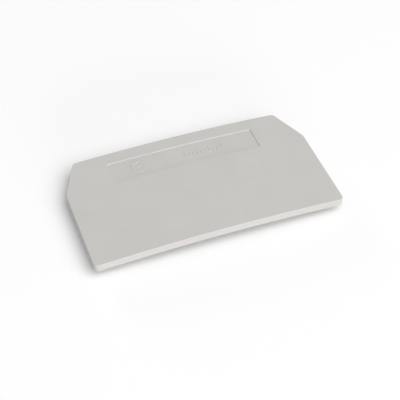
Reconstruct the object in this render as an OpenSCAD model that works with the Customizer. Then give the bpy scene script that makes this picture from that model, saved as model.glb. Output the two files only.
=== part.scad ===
// End barrier for a row of rail-mounted terminal blocks.
// One moulded plate that closes the open side of the last block. It lies with its inner face down,
// on the pegs that locate it: X runs along the foot edge, Y from the foot edge to the top edge, and
// Z out of the outer face. The origin is under the middle of the plate, level with the pegs' tips.

/* [Plate] */
// Length of the foot edge
foot_l = 59.3; // [48:0.1:80]
// Height from the foot edge to the top edge
plate_h = 30.6; // [28:0.1:45]
// Thickness of the plate
plate_t = 2; // [1.2:0.1:4]
// Rise of the middle of the plate above its two ends
bow = 1; // [0.2:0.1:2]
// Width of the edge break round both faces
edge_cut = 0.1; // [0.05:0.05:0.4]

/* [Sides and shoulders] */
// Height from the foot edge to the shoulders
shoulder_h = 21.9; // [14:0.1:24]
// How far each side leans in between the foot edge and its shoulder
side_lean = 0.3; // [0:0.1:1]
// How far each end of the top edge is set in from the end of the foot edge
top_in = 4.5; // [1.5:0.1:8]

/* [Corner radii] */
// Corners at the ends of the foot edge
foot_r = 1.1; // [0.3:0.1:2]
// Corners at the shoulders
shoulder_r = 4; // [0.5:0.1:6]
// Corners at the ends of the top edge
top_r = 1.2; // [0.3:0.1:3]

/* [Locating pegs] */
// Diameter of each of the four pegs on the inner face
peg_d = 3; // [1.5:0.1:5]
// Length of the pegs
peg_h = 2.5; // [1.3:0.1:5]
// Width of the edge break round the tip of each peg
peg_cut = 0.3; // [0.1:0.05:0.6]
// Distance between the left and the right pegs
peg_span = 40; // [20:0.5:46]
// Distance from the foot edge to the lower pegs, and from the top edge to the upper ones
peg_in = 6; // [4:0.1:11]

/* [Label recess] */
// Length of the recess
recess_l = 35.8; // [30:0.1:40]
// Height of the recess
recess_h = 6.1; // [4.5:0.1:8]
// Depth of the recess
recess_d = 0.2; // [0.1:0.05:0.6]
// Distance from the top edge to the recess
recess_gap = 3.2; // [1.5:0.1:6]

/* [Raised marks] */
// Height of the marks above the floor of the recess
mark_h = 0.1; // [0.05:0.05:0.3]
// Width of the lines of the marks
mark_w = 0.4; // [0.25:0.05:0.6]
// Outer diameter of the ring
ring_d = 3.4; // [2.6:0.1:4.4]
// Distance from the left end of the recess to the middle of the ring
ring_in = 6.6; // [3:0.1:9]
// Direction of the pointer in the ring, in degrees from the X axis
pointer_turn = 30; // [0:15:345]
// Number of ticks in the gauge
tick_count = 10; // [4:1:14]
// Distance from one tick to the next
tick_pitch = 1; // [0.7:0.1:1.3]
// Height of the first and last tick, and of every third one between
tick_long = 2.2; // [1.6:0.1:3]
// Height of the other ticks
tick_short = 1.4; // [0.8:0.1:2]
// Distance from the right end of the recess to the last tick
tick_in = 8.6; // [3:0.1:12]

/* [Hidden] */

$fn = 64;
bow_fn = 720;        // facets of a full turn of the bow
arc_step = 12;       // turn of one facet of a rounded corner, in degrees, at the most
overrun = 1;         // how far cutting shapes reach past what they cut
root = 0.3;          // how far the pegs and the marks run into the plate
long_every = 3;      // every how many ticks one is long

foot_y = -plate_h / 2;
top_y = foot_y + plate_h;

// The inner face is an arc. Its ends are where the two end chamfers start.
end_x = foot_l / 2 - edge_cut;
bow_r = (end_x * end_x + bow * bow) / (2 * bow);

// Height of those ends above the ground that the pegs stand on.
peg_x = peg_span / 2;
peg_y = plate_h / 2 - peg_in;
stand = peg_h - (bow - bow_r + sqrt(bow_r * bow_r - peg_x * peg_x));

// Corners of the outline, counter-clockwise from the right end of the foot edge: x, y, radius.
right_corners = [
    [foot_l / 2, foot_y, foot_r],
    [foot_l / 2 - side_lean, foot_y + shoulder_h, shoulder_r],
    [foot_l / 2 - top_in, top_y, top_r]
];
left_corners = [for (i = [2:-1:0]) [-right_corners[i].x, right_corners[i].y, right_corners[i].z]];
corners = concat(right_corners, left_corners);
corner_count = len(corners);

// Edges of the outline, by the corner that they start at. The foot and top edges follow the bow.
straight_edges = [0, 1, 3, 4];

recess_y = top_y - recess_gap - recess_h / 2;
recess_floor = plate_t - recess_d;

function corner(i) = corners[(i + corner_count) % corner_count];
function point(i) = [corner(i).x, corner(i).y];
function along(i) = point(i + 1) - point(i);
function heading(i) = atan2(along(i).y, along(i).x);
function turn(i) = (heading(i) - heading(i - 1) + 360) % 360;
function polar(r, angle) = r * [cos(angle), sin(angle)];

// Centre of the rounding at a corner, one radius inside both of its edges.
function centre(i) =
    let (r = corner(i).z, before = heading(i - 1))
    point(i) - polar(r * tan(turn(i) / 2), before) + polar(r, before + 90);

// Points of the rounding at a corner. The count of facets is odd, so that one faces straight out.
function rounding(i) =
    let (steps = 2 * ceil((turn(i) / arc_step - 1) / 2) + 1, start = heading(i - 1) - 90)
    [for (k = [0:steps]) centre(i) + polar(corner(i).z, start + turn(i) * k / steps)];

module outline() {
    polygon([for (i = [0:corner_count - 1]) each rounding(i)]);
}

// Section of the plate across its length, as radius from the bow's axis and height up the plate.
// Its four slopes break the foot and top edges, and run on past the outline.
module section() {
    reach = (plate_t - 2 * edge_cut) / 4;
    slope = edge_cut + reach;
    polygon([
        [bow_r, foot_y + edge_cut],
        [bow_r + slope, foot_y - reach],
        [bow_r + plate_t - slope, foot_y - reach],
        [bow_r + plate_t, foot_y + edge_cut],
        [bow_r + plate_t, top_y - edge_cut],
        [bow_r + plate_t - slope, top_y + reach],
        [bow_r + slope, top_y + reach],
        [bow_r, top_y - edge_cut]
    ]);
}

// Turns what is drawn round the Z axis so that it runs round the bow's axis, along Y.
module round_bow() {
    translate([0, 0, bow - bow_r]) rotate([-90, 0, 0]) children();
}

// A layer of a flat shape that follows the bow, between two heights above the underside.
module bowed(low, high) {
    intersection() {
        translate([0, 0, low - overrun]) linear_extrude(high - low + bow + 2 * overrun) children();
        round_bow() difference() {
            cylinder(r = bow_r + high, h = plate_h + 2 * overrun, center = true, $fn = bow_fn);
            cylinder(r = bow_r + low, h = plate_h + 4 * overrun, center = true, $fn = bow_fn);
        }
    }
}

// Breaks a straight edge of the outline, on the outer face (1) or the inner face (-1).
module edge_break(i, face) {
    middle = (point(i) + point(i + 1)) / 2;
    radius = face > 0 ? bow_r + plate_t : bow_r;
    length = norm(along(i)) + 2 * overrun;
    depth = edge_cut / sqrt(2);
    translate([0, 0, bow - bow_r]) rotate([0, asin(middle.x / radius), 0])
        translate([0, middle.y, radius]) rotate([face * 45, 0, heading(i)])
            translate([0, 0, face * (overrun / 2 - depth)])
                cube([length, 2 * overrun, overrun], center = true);
}

module plate() {
    difference() {
        intersection() {
            translate([0, 0, -overrun]) linear_extrude(plate_t + bow + 2 * overrun) outline();
            round_bow() rotate_extrude($fn = bow_fn) section();
        }
        for (i = straight_edges, face = [-1, 1]) edge_break(i, face);
    }
}

module peg() {
    cylinder(d1 = peg_d - 2 * peg_cut, d2 = peg_d, h = peg_cut);
    translate([0, 0, peg_cut]) cylinder(d = peg_d, h = peg_h - peg_cut + root);
}

module recess() {
    bowed(recess_floor, plate_t + overrun)
        translate([0, recess_y]) square([recess_l, recess_h], center = true);
}

// A ring with a pointer from its middle, as on a moulding dial.
module ring_mark() {
    translate([ring_in - recess_l / 2, recess_y]) {
        difference() {
            circle(d = ring_d);
            circle(d = ring_d - 2 * mark_w);
        }
        rotate(pointer_turn) translate([0, -mark_w / 2]) square([(ring_d - mark_w) / 2, mark_w]);
    }
}

// A row of ticks on one base line.
module gauge_mark() {
    first_x = recess_l / 2 - tick_in - (tick_count - 1) * tick_pitch;
    for (k = [0:tick_count - 1]) {
        is_long = k % long_every == 0 || k == tick_count - 1;
        translate([first_x + k * tick_pitch - mark_w / 2, recess_y - tick_long / 2])
            square([mark_w, is_long ? tick_long : tick_short]);
    }
}

module end_barrier() {
    color([0.78, 0.775, 0.765]) {
        translate([0, 0, stand]) {
            difference() {
                plate();
                recess();
            }
            bowed(recess_floor - root, recess_floor + mark_h) {
                ring_mark();
                gauge_mark();
            }
        }
        for (x = [-peg_x, peg_x], y = [-peg_y, peg_y]) translate([x, y, 0]) peg();
    }
}

end_barrier();
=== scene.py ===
"""Looks of the end barrier: its moulded surface with rounded edges, its plastic, and a pale studio."""

import math

import bpy
from mathutils import Matrix, Vector
from mathutils.geometry import delaunay_2d_cdt
from mathutils.kdtree import KDTree


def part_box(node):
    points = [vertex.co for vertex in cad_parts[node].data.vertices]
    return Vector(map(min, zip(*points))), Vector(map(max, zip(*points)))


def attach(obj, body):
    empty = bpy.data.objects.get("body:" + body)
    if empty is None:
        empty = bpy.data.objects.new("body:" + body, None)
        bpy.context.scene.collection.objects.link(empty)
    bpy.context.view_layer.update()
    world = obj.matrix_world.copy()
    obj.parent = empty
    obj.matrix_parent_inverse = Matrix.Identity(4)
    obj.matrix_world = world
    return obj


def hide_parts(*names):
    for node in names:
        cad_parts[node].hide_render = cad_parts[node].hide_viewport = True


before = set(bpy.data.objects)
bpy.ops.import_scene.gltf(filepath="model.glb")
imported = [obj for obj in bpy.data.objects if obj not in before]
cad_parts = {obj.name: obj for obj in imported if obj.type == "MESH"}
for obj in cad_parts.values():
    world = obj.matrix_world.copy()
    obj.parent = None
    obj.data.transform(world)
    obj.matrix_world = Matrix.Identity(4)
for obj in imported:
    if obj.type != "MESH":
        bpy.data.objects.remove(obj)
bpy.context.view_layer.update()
node_low, node_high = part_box("end_barrier")

MM = 0.001

# Sizes of the plate, in millimetres. Its height is the frame's.
FOOT_L = 59.3
PLATE_H = (node_high.y - node_low.y) / MM
PLATE_T = 2.0
SHOULDER_H = 21.9
SIDE_LEAN = 0.3
TOP_IN = 4.5
FOOT_R = 1.1
SHOULDER_R = 4.0
TOP_R = 1.2
EDGE_R = 0.1
FOOT_Y = -PLATE_H / 2
TOP_Y = PLATE_H / 2

# The four locating pegs on the inner face, in millimetres.
PEG_D = 3.0
PEG_H = 2.5
PEG_TIP_R = 0.3
PEG_ROOT_R = 0.3
PEG_SPAN = 40.0
PEG_IN = 6.0
PEG_X = PEG_SPAN / 2
PEG_Y = PLATE_H / 2 - PEG_IN

# The inner face is an arc. It rises by the bow from its ends, which the pegs hold off the ground.
BOW = 1.0
END_X = FOOT_L / 2 - EDGE_R
BOW_R = (END_X ** 2 + BOW ** 2) / (2 * BOW)
STAND = PEG_H - (BOW - BOW_R + math.sqrt(BOW_R ** 2 - PEG_X ** 2))

# The label recess, in millimetres.
RECESS_L = 35.8
RECESS_H = 6.1
RECESS_D = 0.2
RECESS_GAP = 3.2
RECESS_CORNER_R = 0.2
RECESS_RIM_R = 0.05
RECESS_FILLET_R = 0.05
RECESS_Y = TOP_Y - RECESS_GAP - RECESS_H / 2
RECESS_FLOOR = PLATE_T - RECESS_D

# The raised marks in the recess, in millimetres.
MARK_H = 0.1
MARK_W = 0.4
MARK_EDGE_R = 0.04
MARK_CORNER_R = 0.1
MARK_TOP = RECESS_FLOOR + MARK_H
RING_D = 3.4
RING_IN = 6.6
RING_X = RING_IN - RECESS_L / 2
POINTER_TURN = math.radians(30)
TICK_COUNT = 10
TICK_PITCH = 1.0
TICK_LONG = 2.2
TICK_SHORT = 1.4
TICK_IN = 8.6
LONG_EVERY = 3
LAST_TICK_X = RECESS_L / 2 - TICK_IN

# Fineness of the mesh: turn of one step of an arc, steps of a rounded edge, and millimetres.
ARC_STEP = math.radians(7.5)
EDGE_STEPS = 5
SPACING = 1.0
CLEAR_OF_EDGE = 0.7 * SPACING
SLIVER = 1e-6
PLAIN_TRIANGLES = 0
CORNERS = ((-1, -1), (1, -1), (1, 1), (-1, 1))

# The plastic. The scales are waves to a metre.
DARKER_GREY = (0.536, 0.521, 0.505, 1)
LIGHTER_GREY = (0.557, 0.542, 0.526, 1)
CLOUD_SCALE = 160
CLOUD_RANGE = (0.3, 0.7)
GRAIN_SCALE = 5200
GRAIN_DEPTH = 0.02 * MM
GRAIN_STRENGTH = 0.35
ROUGHNESS_RANGE = (0.52, 0.72)

# The camera, as the photograph was taken. Lens and sensor are in millimetres, the rest in metres.
CAMERA_AZIMUTH = math.radians(-23.40)
CAMERA_ELEVATION = math.radians(47.62)
CAMERA_ROLL = math.radians(2.96)
CAMERA_DISTANCE = 266.4 * MM
CAMERA_TARGET = Vector((-0.67, -3.06, STAND)) * MM
CAMERA_NEAR = CAMERA_DISTANCE / 10
CAMERA_FAR = 10
LENS = 105.3
SENSOR = 36.0

# The studio, in metres. White is 1 in its greys.
LIGHT_DISTANCE = 2.4
FLOOR_HALF = 2.0
FLOOR_GREY = 0.8
FLOOR_SEEN = 0.985
SKY_GREY = 0.32
BACKDROP = 1.0


def polar(radius, angle):
    return Vector((math.cos(angle), math.sin(angle))) * radius


def heading(step):
    return math.atan2(step.y, step.x)


def rounded(corners):
    """A counter-clockwise loop through corners given as x, y and radius, with an arc at each."""
    loop = []
    for i, (x, y, radius) in enumerate(corners):
        corner = Vector((x, y))
        before = corner - Vector(corners[i - 1][:2])
        after = Vector(corners[(i + 1) % len(corners)][:2]) - corner
        turn = (heading(after) - heading(before)) % math.tau
        start = heading(before) - math.pi / 2
        centre = corner - before.normalized() * radius * math.tan(turn / 2) - polar(radius, start)
        steps = math.ceil(turn / ARC_STEP)
        loop += [centre + polar(radius, start + turn * k / steps) for k in range(steps + 1)]
    return loop


def rectangle(x, y, length, height, radius):
    """A loop round a rectangle with its middle at x, y."""
    return rounded([(x + sx * length / 2, y + sy * height / 2, radius) for sx, sy in CORNERS])


def divided(loop):
    """The loop with further points on its long sides, so that it can follow the bow."""
    points = []
    for here, following in zip(loop, loop[1:] + loop[:1]):
        steps = max(1, round((following - here).length / SPACING))
        points += [here.lerp(following, k / steps) for k in range(steps)]
    return points


def plate_outline():
    right = [
        (FOOT_L / 2, FOOT_Y, FOOT_R),
        (FOOT_L / 2 - SIDE_LEAN, FOOT_Y + SHOULDER_H, SHOULDER_R),
        (FOOT_L / 2 - TOP_IN, TOP_Y, TOP_R),
    ]
    left = [(-x, y, radius) for x, y, radius in reversed(right)]
    return divided(rounded(right + left))


def circle(middle, radius):
    steps = math.ceil(math.tau / ARC_STEP)
    return [middle + polar(radius, math.tau * k / steps) for k in range(steps)]


def ring_outlines():
    """The outer circle of the ring mark, and the edge inside it, which runs round the pointer."""
    middle = Vector((RING_X, RECESS_Y))
    outer_r = RING_D / 2
    inner_r = outer_r - MARK_W
    steps = math.ceil(math.tau / ARC_STEP)
    end_steps = steps // 2
    clear = math.asin(MARK_W / 2 / inner_r)
    round_ring = [POINTER_TURN + clear + (math.tau - 2 * clear) * k / steps for k in range(steps + 1)]
    round_end = [POINTER_TURN - math.pi / 2 - math.pi * k / end_steps for k in range(end_steps + 1)]
    inner = [middle + polar(inner_r, angle) for angle in round_ring]
    inner += [middle + polar(MARK_W / 2, angle) for angle in round_end]
    return circle(middle, outer_r), inner


def tick_outlines():
    """The ticks of the gauge, which stand on one base line."""
    ticks = []
    for k in range(TICK_COUNT):
        is_long = k % LONG_EVERY == 0 or k == TICK_COUNT - 1
        height = TICK_LONG if is_long else TICK_SHORT
        x = LAST_TICK_X - (TICK_COUNT - 1 - k) * TICK_PITCH
        y = RECESS_Y - TICK_LONG / 2 + height / 2
        ticks.append(rectangle(x, y, MARK_W, height, MARK_CORNER_R))
    return ticks


def quarter():
    """Angles of a quarter turn, for a rounded edge."""
    return [math.pi / 2 * k / EDGE_STEPS for k in range(EDGE_STEPS + 1)]


# A profile is a section across an edge. Each of its points has an inset from the edge's loop, a height,
# and how far the surface's normal points out of the loop and up.


def step_profile(first, last, first_r, last_r):
    """Section across a step between two heights, going inwards, with a round at each."""
    rise = math.copysign(1, last - first)
    start = [
        (
            first_r * (math.sin(a) - 1),
            first + rise * first_r * (1 - math.cos(a)),
            rise * math.sin(a),
            math.cos(a),
        )
        for a in quarter()
    ]
    end = [
        (
            last_r * (1 - math.sin(a)),
            last - rise * last_r * (1 - math.cos(a)),
            rise * math.sin(a),
            math.cos(a),
        )
        for a in reversed(quarter())
    ]
    return start + end


def lower_edge(radius):
    """Section of a rounded lower edge, going outwards and up."""
    return [
        (radius * (1 - math.sin(a)), radius * (1 - math.cos(a)), math.sin(a), -math.cos(a))
        for a in quarter()
    ]


def rim_profile():
    """Section across the plate's edge, from the inner face to the outer face."""
    under = lower_edge(EDGE_R)
    over = [(inset, PLATE_T - height, out, -up) for inset, height, out, up in reversed(under)]
    return under + over


def peg_root():
    """Section of the fillet between a peg and the inner face, going outwards and up."""
    return [
        (PEG_ROOT_R * (math.cos(a) - 1), PEG_ROOT_R * (math.sin(a) - 1), math.cos(a), -math.sin(a))
        for a in quarter()
    ]


def on_bow(x, height):
    """Height above the ground, from a height above the inner face, and how far the plate leans there."""
    radius = BOW_R + height
    lean = math.asin(x / radius)
    return STAND + BOW - BOW_R + radius * math.cos(lean), lean


def on_ground(x, height):
    """The same for what stands on the ground: the height as it is, and no lean."""
    return height, 0


class Surface:
    """Points, normals and faces of a closed surface, and the mesh of them."""

    def __init__(self):
        self.points = []
        self.normals = []
        self.faces = []

    def add(self, lie, x, y, height, out_x, out_y, up):
        """A point at a height that lie takes to the ground's, and its normal. Returns its number."""
        z, lean = lie(x, height)
        normal = Vector((out_x + up * math.sin(lean), out_y, up * math.cos(lean)))
        self.points.append(Vector((x, y, z)) * MM)
        self.normals.append(normal.normalized())
        return len(self.points) - 1

    def rows(self, loop, profile, lie=on_bow):
        """Rows of points round a loop, one for each point of a profile."""
        shifts = []
        for i, here in enumerate(loop):
            before = (here - loop[i - 1]).normalized()
            after = (loop[(i + 1) % len(loop)] - here).normalized()
            shift = Vector((before.y + after.y, -before.x - after.x))
            shifts.append(shift / (1 + before.dot(after)))
        rows = []
        for inset, height, out, up in profile:
            row = []
            for here, shift in zip(loop, shifts):
                place = here - shift * inset
                side = shift.normalized() * out
                row.append(self.add(lie, place.x, place.y, height, side.x, side.y, up))
            rows.append(row)
        return rows

    def join(self, rows):
        """Faces between rows of points. Returns the first and the last row."""
        for lower, upper in zip(rows, rows[1:]):
            for i in range(len(lower)):
                k = (i + 1) % len(lower)
                self.faces.append((lower[i], lower[k], upper[k], upper[i]))
        return rows[0], rows[-1]

    def sweep(self, loop, profile):
        return self.join(self.rows(loop, profile))

    def fill(self, rows, height, up=1, lie=on_bow):
        """Faces over the area that an odd number of the rows goes round. They look up (1) or down (-1)."""
        edge = [i for row in rows for i in row]
        flat = [self.points[i].xy / MM for i in edge]
        ends = [0]
        for row in rows:
            ends.append(ends[-1] + len(row))
        loops = [list(range(start, end)) for start, end in zip(ends, ends[1:])]
        flat += grid_points(flat)
        places, _, triangles, sources, _, within = delaunay_2d_cdt(flat, [], loops, PLAIN_TRIANGLES, SLIVER)
        new = {}

        def index(place):
            source = sources[place][0]
            if source < len(edge):
                return edge[source]
            if source not in new:
                new[source] = self.add(lie, *places[place], height, 0, 0, up)
            return new[source]

        for triangle, loops_round in zip(triangles, within):
            if len(loops_round) % 2:
                self.faces.append([index(place) for place in triangle][::up])

    def build(self, name):
        """The mesh object of the surface."""
        mesh = bpy.data.meshes.new(name)
        mesh.from_pydata(self.points, [], self.faces)
        mesh.shade_smooth()
        mesh.normals_split_custom_set_from_vertices(self.normals)
        return placed(name, mesh)


def placed(name, data):
    """A new object of the scene with the given mesh, light or camera."""
    piece = bpy.data.objects.new(name, data)
    bpy.context.scene.collection.objects.link(piece)
    return piece


def grid_points(edge):
    """Points on an even grid over the edge's area, except close to the edge itself."""
    tree = KDTree(len(edge))
    for i, point in enumerate(edge):
        tree.insert(point.to_3d(), i)
    tree.balance()
    low_x, high_x = min(p.x for p in edge), max(p.x for p in edge)
    low_y, high_y = min(p.y for p in edge), max(p.y for p in edge)
    columns = int((high_x - low_x) / SPACING)
    rows = int((high_y - low_y) / SPACING)
    points = []
    for column in range(1, columns):
        for row in range(1, rows):
            x = low_x + (high_x - low_x) * column / columns
            y = low_y + (high_y - low_y) * row / rows
            _, _, to_edge = tree.find((x, y, 0))
            if to_edge > CLEAR_OF_EDGE:
                points.append(Vector((x, y)))
    return points


def moulded_plate():
    """The whole plate as one closed surface: its faces and rim, the recess, the pegs and the marks."""
    surface = Surface()
    under_edge, face_edge = surface.sweep(plate_outline(), rim_profile())
    recess = divided(rectangle(0, RECESS_Y, RECESS_L, RECESS_H, RECESS_CORNER_R))
    into_recess = step_profile(PLATE_T, RECESS_FLOOR, RECESS_RIM_R, RECESS_FILLET_R)
    recess_rim, floor_edge = surface.sweep(recess, into_recess)
    surface.fill([face_edge, recess_rim], PLATE_T)

    inner_rows = [under_edge]
    for x, y in ((-PEG_X, -PEG_Y), (PEG_X, -PEG_Y), (-PEG_X, PEG_Y), (PEG_X, PEG_Y)):
        peg = circle(Vector((x, y)), PEG_D / 2)
        peg_rows = surface.rows(peg, lower_edge(PEG_TIP_R), on_ground) + surface.rows(peg, peg_root())
        tip, root = surface.join(peg_rows)
        surface.fill([tip], 0, up=-1, lie=on_ground)
        inner_rows.append(root)
    surface.fill(inner_rows, 0, up=-1)

    up_to_mark = step_profile(RECESS_FLOOR, MARK_TOP, MARK_EDGE_R, MARK_EDGE_R)
    down_from_mark = step_profile(MARK_TOP, RECESS_FLOOR, MARK_EDGE_R, MARK_EDGE_R)
    ring_outer, ring_inner = ring_outlines()
    ring_foot, ring_top = surface.sweep(ring_outer, up_to_mark)
    ring_inner_top, ring_inner_foot = surface.sweep(ring_inner, down_from_mark)
    surface.fill([ring_top, ring_inner_top], MARK_TOP)
    floor_rows = [floor_edge, ring_foot, ring_inner_foot]
    for tick in tick_outlines():
        tick_foot, tick_top = surface.sweep(tick, up_to_mark)
        surface.fill([tick_top], MARK_TOP)
        floor_rows.append(tick_foot)
    surface.fill(floor_rows, RECESS_FLOOR)
    return surface.build("moulded_plate")


def add_node(tree, kind, **values):
    """A shader node with values set on its sockets. A value that is a socket is linked."""
    node = tree.nodes.new(kind)
    for name, value in values.items():
        socket = node.inputs[name.replace("_", " ")]
        if isinstance(value, bpy.types.NodeSocket):
            tree.links.new(value, socket)
        else:
            socket.default_value = value
    return node


def new_material(name):
    """A material, with its node tree and shader."""
    material = bpy.data.materials.new(name)
    material.use_nodes = True
    tree = material.node_tree
    return material, tree, tree.nodes["Principled BSDF"]


def plastic():
    """Light grey matt plastic, with the fine grain of a spark-eroded mould."""
    material, tree, shader = new_material("moulded_plastic")
    place = tree.nodes.new("ShaderNodeTexCoord").outputs["Object"]

    clouds = add_node(tree, "ShaderNodeTexNoise", Vector=place, Scale=CLOUD_SCALE, Detail=4, Roughness=0.6)
    colour = add_node(tree, "ShaderNodeValToRGB", Fac=clouds.outputs["Fac"])
    stops = zip(colour.color_ramp.elements, CLOUD_RANGE, (DARKER_GREY, LIGHTER_GREY))
    for stop, position, grey in stops:
        stop.position = position
        stop.color = grey
    tree.links.new(colour.outputs["Color"], shader.inputs["Base Color"])

    grain = add_node(tree, "ShaderNodeTexNoise", Vector=place, Scale=GRAIN_SCALE, Detail=3, Roughness=0.65)
    height = grain.outputs["Fac"]
    smooth, rough = ROUGHNESS_RANGE
    shine = add_node(tree, "ShaderNodeMapRange", Value=height, To_Min=smooth, To_Max=rough)
    tree.links.new(shine.outputs["Result"], shader.inputs["Roughness"])

    bump = add_node(tree, "ShaderNodeBump", Height=height, Strength=GRAIN_STRENGTH, Distance=GRAIN_DEPTH)
    tree.links.new(bump.outputs["Normal"], shader.inputs["Normal"])
    return material


def either(tree, first, second):
    """A socket that is the larger of two."""
    node = tree.nodes.new("ShaderNodeMath")
    node.operation = "MAXIMUM"
    tree.links.new(first, node.inputs[0])
    tree.links.new(second, node.inputs[1])
    return node.outputs[0]


def seen_directly(tree):
    """A socket that is 1 for rays from the camera, and for those that reach it by a mirror or glass."""
    path = tree.nodes.new("ShaderNodeLightPath").outputs
    by_mirror = either(tree, path["Is Camera Ray"], path["Is Glossy Ray"])
    return either(tree, by_mirror, path["Is Transmission Ray"])


def mixed_colour(tree, plain, direct):
    """A colour socket that gives one grey for bounced light and another for what is seen directly."""
    mix = tree.nodes.new("ShaderNodeMix")
    mix.data_type = "RGBA"
    tree.links.new(seen_directly(tree), mix.inputs["Factor"])
    mix.inputs["A"].default_value = (plain, plain, plain, 1)
    mix.inputs["B"].default_value = (direct, direct, direct, 1)
    return mix.outputs["Result"]


def floor():
    """A pale, dull floor, which keeps the shadow."""
    mesh = bpy.data.meshes.new("floor")
    mesh.from_pydata([(x * FLOOR_HALF, y * FLOOR_HALF, 0) for x, y in CORNERS], [], [range(len(CORNERS))])
    piece = placed("floor", mesh)
    material, tree, shader = new_material("pale_floor")
    shader.inputs["Roughness"].default_value = 1.0
    shader.inputs["Specular IOR Level"].default_value = 0.0
    tree.links.new(mixed_colour(tree, FLOOR_GREY, FLOOR_SEEN), shader.inputs["Base Color"])
    mesh.materials.append(material)


def surroundings():
    """Even light from all round, and a white backdrop."""
    world = bpy.data.worlds.new("studio")
    world.use_nodes = True
    bpy.context.scene.world = world
    tree = world.node_tree
    background = tree.nodes["Background"]
    tree.links.new(mixed_colour(tree, SKY_GREY, BACKDROP), background.inputs["Color"])


def towards(azimuth, elevation):
    """The direction from the plate to a point. Azimuth 0 is before the foot edge, and 90 at its right."""
    level = math.cos(elevation)
    return Vector((math.sin(azimuth) * level, -math.cos(azimuth) * level, math.sin(elevation)))


def lit_share(width, height, distance):
    """Share of all that a face sees which a rectangle square in front of it fills."""
    x = width / 2 / distance
    y = height / 2 / distance
    past_x = math.hypot(1, x)
    past_y = math.hypot(1, y)
    return (x / past_x * math.atan(y / past_x) + y / past_y * math.atan(x / past_y)) * 2 / math.pi


def softbox(name, azimuth, elevation, width, height, level):
    """A soft light, given the level that it lights a white face to that is turned to it."""
    light = bpy.data.lights.new(name, "AREA")
    light.shape = "RECTANGLE"
    light.size = width
    light.size_y = height
    light.energy = level / lit_share(width, height, LIGHT_DISTANCE) * math.pi * width * height
    back = towards(math.radians(azimuth), math.radians(elevation))
    turned = back.to_track_quat("Z", "Y").to_matrix().to_4x4()
    placed(name, light).matrix_world = Matrix.Translation(back * LIGHT_DISTANCE) @ turned


def camera():
    """The camera, turned to its target and then rolled."""
    back = towards(CAMERA_AZIMUTH, CAMERA_ELEVATION)
    level_right = Vector((math.cos(CAMERA_AZIMUTH), math.sin(CAMERA_AZIMUTH), 0))
    level_up = back.cross(level_right)
    right = level_right * math.cos(CAMERA_ROLL) + level_up * math.sin(CAMERA_ROLL)
    up = back.cross(right)
    data = bpy.data.cameras.new("camera")
    data.lens = LENS
    data.sensor_width = SENSOR
    data.clip_start = CAMERA_NEAR
    data.clip_end = CAMERA_FAR
    piece = placed("camera", data)
    turned = Matrix((right, up, back)).transposed().to_4x4()
    piece.matrix_world = Matrix.Translation(CAMERA_TARGET + back * CAMERA_DISTANCE) @ turned
    bpy.context.scene.camera = piece


plate = moulded_plate()
plate.data.materials.append(plastic())
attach(plate, "root")
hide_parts("end_barrier")

floor()
surroundings()
softbox("key", azimuth=27, elevation=57, width=2.7, height=2.7, level=0.735)
softbox("front", azimuth=0, elevation=5.5, width=1.4, height=0.42, level=0.40)
softbox("back", azimuth=194, elevation=10, width=0.85, height=0.8, level=0.165)
camera()
bpy.context.scene.view_settings.view_transform = "Standard"
